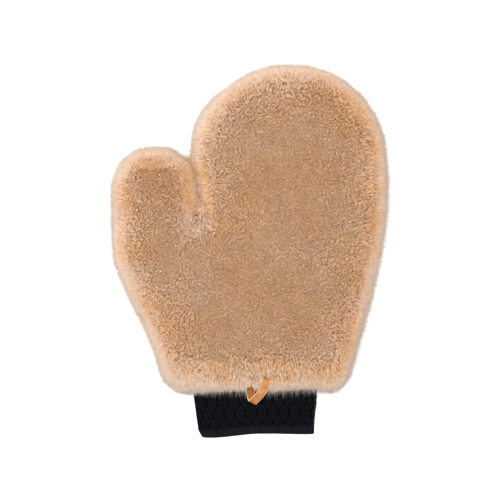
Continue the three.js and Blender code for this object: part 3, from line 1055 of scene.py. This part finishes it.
def add_side_seam(look):
    """Overlocked stitches that wrap the fold away from the thumb."""
    all_points, all_quads, count = [], [], 0
    rng = np.random.default_rng(STITCH_SEED)
    turn = np.linspace(-STITCH_TURN, STITCH_TURN, STITCH_POINTS)
    for y in np.arange(WRIST.y - 1 * MM, hem_high[1] + 2 * MM, -STITCH_PITCH):
        right = cuff_edges(np.array([y]))[1][0]
        lift = hem_lift(right) * smoothstep(WRIST.y, hem_high[1], y)
        reach = rng.uniform(*STITCH_REACH) * MM
        x = right - STITCH_BACK + reach * np.abs(np.cos(turn)) ** STITCH_FULLNESS
        z = MID_Z + (CUFF_HALF[2] - STITCH_IN_FOLD) * np.sin(turn)
        slant = rng.uniform(*STITCH_SLANT) * MM
        path = np.stack([x, y + lift + slant * turn, z], axis=1)
        points, quads = tube(path, rng.uniform(*STITCH_RADIUS) * MM)
        all_points.append(points)
        all_quads.append(quads + count)
        count += len(points)
    seam = quad_object("cuff_side_overlock", np.concatenate(all_points), np.concatenate(all_quads))
    seam.data.materials.append(look)
    bend(seam)
    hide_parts("cuff_side_seam_thread")


# ---- hanging loop ----

LOOP_WIDTH = 5.8 * MM
LOOP_THICKNESS = 1.2 * MM
LOOP_CORNER = 0.22 * MM
LOOP_SLANT = 0.57
LOOP_STEPS = 90
CURVE_STEPS = 40
GRAIN, FLESH, EDGE = range(3)
# The strip's middle from one sewn end round to the other, in millimetres from the loop's hinge
LOOP_PATH = [(6, -1.8, 1.2), (6.4, 0.6, 5), (6.2, 1.2, 8), (5.4, -1.6, 9.6), (4.2, -6, 8.6), (0.8, -11, 7),
             (-2.4, -14.4, 5.2), (-3.7, -15.9, 3), (-4.6, -14.8, 0.9), (-5.1, -10.5, -0.2), (-4.6, 0, -0.3)]


def smooth_path(corners, count):
    """Evenly spaced points along a Catmull-Rom curve through the corners."""
    c = np.array(corners, float)
    c = np.concatenate([[2 * c[0] - c[1]], c, [2 * c[-1] - c[-2]]])
    t = np.linspace(0, 1, CURVE_STEPS, endpoint=False)[:, None]
    runs = []
    for a, b, d, e in zip(c[:-3], c[1:-2], c[2:-1], c[3:]):
        curve = 2 * b + (d - a) * t + (2 * a - 5 * b + 4 * d - e) * t ** 2 + (3 * b - a - 3 * d + e) * t ** 3
        runs.append(0.5 * curve)
    line = np.concatenate([*runs, c[-2:-1]])
    length = np.concatenate([[0], np.cumsum(np.linalg.norm(np.diff(line, axis=0), axis=1))])
    even = np.linspace(0, length[-1], count)
    return np.stack([np.interp(even, length, line[:, i]) for i in range(3)], axis=1)


def strip_section():
    """Corners once round the strip, across and up, and which side of the leather follows each."""
    w, h, r = LOOP_WIDTH / 2, LOOP_THICKNESS / 2, LOOP_CORNER
    flesh = [(-w + r, -h), (-w / 3, -h), (w / 3, -h)]
    grain = [(w - r, h), (w / 3, h), (-w / 3, h)]
    corners = [(-w, h - r), (-w, -h + r), *flesh, (w - r, -h), (w, -h + r), (w, h - r), *grain, (-w + r, h)]
    sides = [EDGE] * 2 + [FLESH] * 3 + [EDGE] * 3 + [GRAIN] * 3 + [EDGE]
    return np.array(corners), sides


def add_loop():
    path = smooth_path(LOOP_PATH, LOOP_STEPS) * MM
    t = np.linspace(0, 1, LOOP_STEPS)
    along = unit(np.gradient(path, axis=0))
    slant = -LOOP_SLANT * (1 - smoothstep(0.6, 1, t))
    across = unit(np.stack([np.ones(LOOP_STEPS), slant, np.zeros(LOOP_STEPS)], axis=1))
    up = unit(np.cross(along, across))
    section, sides = strip_section()
    rows = path[:, None, :] + section @ np.stack([across, up], axis=1) + np.array(LOOP_ROOT)
    columns = len(section)
    quads = grid_loops(LOOP_STEPS, columns)
    first_end = np.arange(columns)[::-1]
    last_end = (LOOP_STEPS - 1) * columns + np.arange(columns)
    loops = np.concatenate([quads.reshape(-1), first_end, last_end])
    starts = np.concatenate([np.arange(len(quads)) * 4, [len(quads) * 4, len(quads) * 4 + columns]])
    loop = make_mesh("leather_loop", rows.reshape(-1, 3), loops, starts)
    for look in leather_materials():
        loop.data.materials.append(look)
    indices = np.concatenate([np.tile(sides, LOOP_STEPS - 1), [EDGE, EDGE]])
    loop.data.polygons.foreach_set("material_index", indices.astype(np.int32))
    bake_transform(loop)
    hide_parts("hanging_loop")


# ---- stage ----

VIEW_WIDTH = 0.36
CAMERA_HEIGHT = 1.2
FLOOR_SIZE = 3
FLOOR_GLOW = 0.45
WORLD_LIGHT = 0.58


def add_camera():
    """A camera straight above the middle of the mitt."""
    camera = bpy.data.objects.new("camera", bpy.data.cameras.new("camera"))
    camera.data.sensor_width = 36
    camera.data.lens = camera.data.sensor_width * CAMERA_HEIGHT / VIEW_WIDTH
    low, high = cad_box
    camera.location = ((low.x + high.x) / 2, (low.y + high.y) / 2, MID_Z + CAMERA_HEIGHT)
    bpy.context.scene.collection.objects.link(camera)
    bpy.context.scene.camera = camera


def add_floor():
    mesh = bpy.data.meshes.new("floor")
    made = bmesh.new()
    bmesh.ops.create_grid(made, x_segments=1, y_segments=1, size=FLOOR_SIZE)
    made.to_mesh(mesh)
    made.free()
    floor = bpy.data.objects.new("floor", mesh)
    bpy.context.scene.collection.objects.link(floor)
    look, _, shader = material("floor", roughness=0.9, specular=0.0)
    shader.inputs["Base Color"].default_value = (0.8, 0.8, 0.8, 1)
    shader.inputs["Emission Color"].default_value = (1, 1, 1, 1)
    shader.inputs["Emission Strength"].default_value = FLOOR_GLOW
    mesh.materials.append(look)


def add_light(name, place, size, power):
    """A square soft light that faces the mitt."""
    light = bpy.data.lights.new(name, "AREA")
    light.energy = power
    light.size = size
    obj = bpy.data.objects.new(name, light)
    obj.location = place
    obj.rotation_mode = "QUATERNION"
    obj.rotation_quaternion = (-Vector(place)).to_track_quat("-Z", "Y")
    bpy.context.scene.collection.objects.link(obj)


def add_stage():
    add_camera()
    add_floor()
    add_light("key", (-0.4, 0.2, 1.65), size=0.9, power=25)
    add_light("fill", (0.15, 0.1, 1.7), size=1.0, power=21)
    world = bpy.data.worlds.new("world")
    world.use_nodes = True
    world.node_tree.nodes["Background"].inputs["Color"].default_value = (1, 1, 1, 1)
    world.node_tree.nodes["Background"].inputs["Strength"].default_value = WORLD_LIGHT
    bpy.context.scene.world = world
    bpy.context.scene.view_settings.view_transform = "Standard"


# ---- the mitt ----

def add_cuff():
    # Painted shade: a near-black material for the grooves of the woven diamonds and the furrows between the
    # hem's ribs
    groove = elastic_material("elastic_groove_painted_shade", (0, 0, 1), (2, 2, 3))
    add_elastic([elastic_material("elastic_weave", (7, 7, 9), (17, 16, 21)), groove])
    add_hem_band([elastic_material("elastic_rib", (16, 15, 18), (34, 33, 38)), groove])
    add_side_seam(thread_material("black_thread", (5, 5, 7), (16, 15, 20), sheen=0.03))


add_stage()
outside_hide = offset_grid()
add_undercoat(outside_hide)
add_wool(outside_hide)
pale_thread = thread_material("pale_thread", (190, 156, 120), (222, 190, 156), sheen=0.3)
add_hides()
add_edge_seams(pale_thread)
add_cuff()
add_loop()
set_look("cuff_join_thread", pale_thread)
set_look("loop_tack_thread", pale_thread)

bpy.context.view_layer.update()
